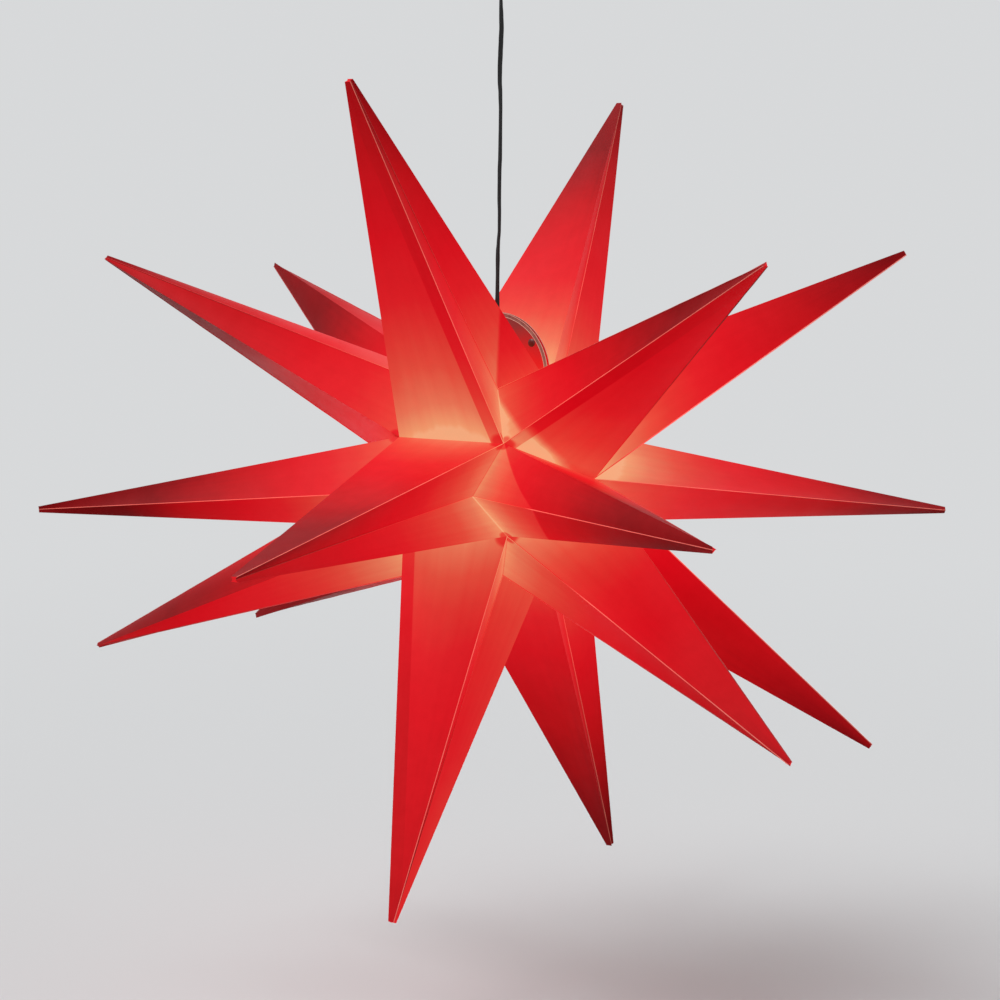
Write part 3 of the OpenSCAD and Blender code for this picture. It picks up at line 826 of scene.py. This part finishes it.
# Moulded and metal finishes by slot: colour, how much it varies, roughness, scale and depth of the
# grain, and 1 for metal
PLAIN_FINISHES = {
    "stud_plastic": ((0.10, 0.012, 0.010), 0.15, 0.35, 500.0, 0.0001, 0.0),
    "steel": ((0.58, 0.58, 0.60), 0.08, 0.30, 900.0, 0.0001, 1.0),
    "lead_insulation": ((0.015, 0.015, 0.016), 0.2, 0.45, 900.0, 0.0001, 0.0),
    "white_plastic": ((0.78, 0.78, 0.75), 0.02, 0.34, 700.0, 0.0001, 0.0),
    "holder_black": ((0.018, 0.018, 0.019), 0.2, 0.5, 1100.0, 0.0002, 0.0),
    "brass_parts": ((0.72, 0.53, 0.24), 0.10, 0.28, 900.0, 0.0001, 1.0),
    "seal_rubber": ((0.012, 0.012, 0.012), 0.2, 0.62, 1300.0, 0.0002, 0.0),
    "solder_tin": ((0.66, 0.66, 0.67), 0.12, 0.42, 500.0, 0.0002, 1.0),
    "insulator_black": ((0.010, 0.010, 0.011), 0.2, 0.15, 500.0, 0.0001, 0.0),
    "cap_nickel": ((0.70, 0.68, 0.64), 0.06, 0.20, 900.0, 0.0001, 1.0),
    "board_green": ((0.020, 0.13, 0.05), 0.15, 0.4, 900.0, 0.0001, 0.0),
    "board_white": ((0.76, 0.76, 0.72), 0.03, 0.4, 900.0, 0.0001, 0.0),
    "cup_white": ((0.80, 0.80, 0.78), 0.015, 0.30, 1500.0, 0.0002, 0.0),
    "block_white": ((0.80, 0.80, 0.77), 0.03, 0.5, 900.0, 0.0001, 0.0),
}
# Lit pieces of the lamp by slot: colour, glow and roughness
LIT_FINISHES = {
    "chip_yellow": ((0.40, 0.30, 0.08), (0.62, 0.48, 0.20), 0.4),
    "lamp_glow": ((0.35, 0.34, 0.31), (0.70, 0.60, 0.44), 0.45),
}
# Share of the glow that is left where a lit piece turns away
EDGE_GLOW = 0.7


def plain_finish(name, colour, spread, rough, grain, depth, metallic):
    """Moulded or metal finish: colour that varies a little, uneven gloss and a fine grain."""
    material, tree, surface = new_material(name)
    place = object_place(tree)
    cloud = noise_at(tree, place, 70.0, 4.0, 0.6)
    dark = tuple(c * (1 - spread) for c in colour)
    light = tuple(min(1.0, c * (1 + spread)) for c in colour)
    low, high = NOISE_SPAN
    fill(tree, surface, {
        "Base Color": ramp(tree, cloud, [(low, dark), (high, light)]),
        "Roughness": uneven(tree, place, 220.0, rough * 0.8, rough * 1.25),
        "Metallic": metallic,
        "Normal": bump(tree, noise_at(tree, place, grain, 2.0), depth, 0.4),
    })
    return material, tree, surface


def lit_finish(name, colour, glow, rough):
    """A lit piece of the lamp, a little dimmer toward its edges."""
    material, tree, surface = plain_finish(name, colour, 0.03, rough, 600.0, 0.0001, 0.0)
    edge = add(tree, "ShaderNodeLayerWeight", {0: 0.35}).outputs["Facing"]
    light = ramp(tree, edge, [(0.2, glow), (1.0, tuple(c * EDGE_GLOW for c in glow))])
    fill(tree, surface, {"Emission Color": light, "Emission Strength": 1.0})
    return material


def dress_fittings(jacket):
    """Gives every CAD node that still shows the finish of its slot in the record."""
    finishes = {"cord_jacket": jacket, "flap_sheet": flap_material()}
    for slot, values in PLAIN_FINISHES.items():
        finishes[slot] = plain_finish(slot, *values)[0]
    for slot, values in LIT_FINISHES.items():
        finishes[slot] = lit_finish(slot, *values)
    for part in frame["record"]["subparts"]:
        if part["material_slot"] in finishes:
            piece = nodes[part["node"]]
            piece.data.materials.clear()
            piece.data.materials.append(finishes[part["material_slot"]])


# Camera, light and floor

PALE = (0.72, 0.73, 0.74)
WALL = 0.95
FLOOR_GAP = 0.16
FLOOR_SIZE = 30.0
FLOOR_SIDES = 96
# Distances from the floor's middle over which it fades into the wall's colour
FLOOR_FADE = (0.9, 4.5)
# Light of the studio on the object, and of the floor's bounce, on the scale where white is 1
STUDIO = 0.32
BOUNCE = 0.22
# Soft suns: azimuth, elevation and width in degrees, and strength
SUNS = {"key": (-25, 58, 45, 2.0), "fill": (110, 20, 70, 0.45)}


def direction(azimuth, elevation):
    """Unit vector from the object toward a place at these angles, with 0 at the front."""
    return Vector((
        math.sin(azimuth) * math.cos(elevation),
        -math.cos(azimuth) * math.cos(elevation),
        math.sin(elevation),
    ))


def make_camera():
    """The view of the photograph."""
    back = direction(VIEW_AZIMUTH, VIEW_ELEVATION)
    data = bpy.data.cameras.new("camera")
    camera = bpy.data.objects.new("camera", data)
    bpy.context.collection.objects.link(camera)
    data.lens = LENS
    data.sensor_width = SENSOR
    data.shift_x, data.shift_y = SHIFT
    place = Matrix.Translation(middle + back * VIEW_DISTANCE)
    look = (-back).to_track_quat("-Z", "Y").to_matrix().to_4x4()
    camera.matrix_world = place @ look @ Matrix.Rotation(VIEW_ROLL, 4, "Z")
    bpy.context.scene.camera = camera


def seen_rays(tree):
    """1 for what the camera sees directly, in a reflection or through glass."""
    rays = add(tree, "ShaderNodeLightPath").outputs
    seen = maths(tree, "MAXIMUM", rays["Is Camera Ray"], rays["Is Glossy Ray"])
    return maths(tree, "MAXIMUM", seen, rays["Is Transmission Ray"])


def make_floor():
    """A pale floor that keeps the object's shadow and runs out into the wall's own colour."""
    bm = bmesh.new()
    bmesh.ops.create_circle(bm, cap_ends=True, segments=FLOOR_SIDES, radius=FLOOR_SIZE)
    floor = mesh_object("floor", bm)
    floor.location = (0, 0, cad_box[0].z - FLOOR_GAP)
    material, tree, surface = new_material("floor")
    seen = seen_rays(tree)
    fill(tree, surface, {
        "Base Color": mix_colours(tree, seen, (BOUNCE, BOUNCE, BOUNCE, 1), (*PALE, 1)),
        "Roughness": 0.9,
        "Specular IOR Level": 0.0,
    })
    light = ranged(tree, seen, 0.0, 1.0, BOUNCE * STUDIO, WALL)
    wall = add(tree, "ShaderNodeEmission", {"Color": (*PALE, 1), "Strength": light})
    away = vector_maths(tree, "LENGTH", object_place(tree))
    far = ranged(tree, away, *FLOOR_FADE, 0.0, 1.0, smooth=True)
    mix = add(tree, "ShaderNodeMixShader", {0: far, 1: surface.outputs[0], 2: wall.outputs[0]})
    fill(tree, tree.nodes["Material Output"], {"Surface": mix.outputs[0]})
    floor.data.materials.append(material)


def make_world():
    """Soft light all round, and the pale wall for what is seen."""
    world = bpy.data.worlds.new("studio")
    bpy.context.scene.world = world
    world.use_nodes = True
    tree = world.node_tree
    light = tree.nodes["Background"]
    fill(tree, light, {"Color": (1, 1, 1, 1), "Strength": STUDIO})
    wall = add(tree, "ShaderNodeBackground", {"Color": (*PALE, 1), "Strength": WALL})
    mix = add(tree, "ShaderNodeMixShader", {0: seen_rays(tree), 1: light.outputs[0], 2: wall.outputs[0]})
    fill(tree, tree.nodes["World Output"], {"Surface": mix.outputs[0]})


def make_lamps():
    """A broad key from above left of the view and a weak fill from the right."""
    for name, (azimuth, elevation, width, strength) in SUNS.items():
        data = bpy.data.lights.new(name, "SUN")
        data.energy = strength
        data.angle = math.radians(width)
        lamp = bpy.data.objects.new(name, data)
        bpy.context.collection.objects.link(lamp)
        source = direction(math.radians(azimuth), math.radians(elevation))
        lamp.rotation_euler = (-source).to_track_quat("-Z", "Y").to_euler()


make_camera()
make_floor()
make_world()
make_lamps()
bpy.context.scene.view_settings.view_transform = "Standard"

cord_jacket = cord_material()
make_cord(cord_jacket)
make_star(sheet_material(), seam_material())
make_flap_rims()
dress_fittings(cord_jacket)
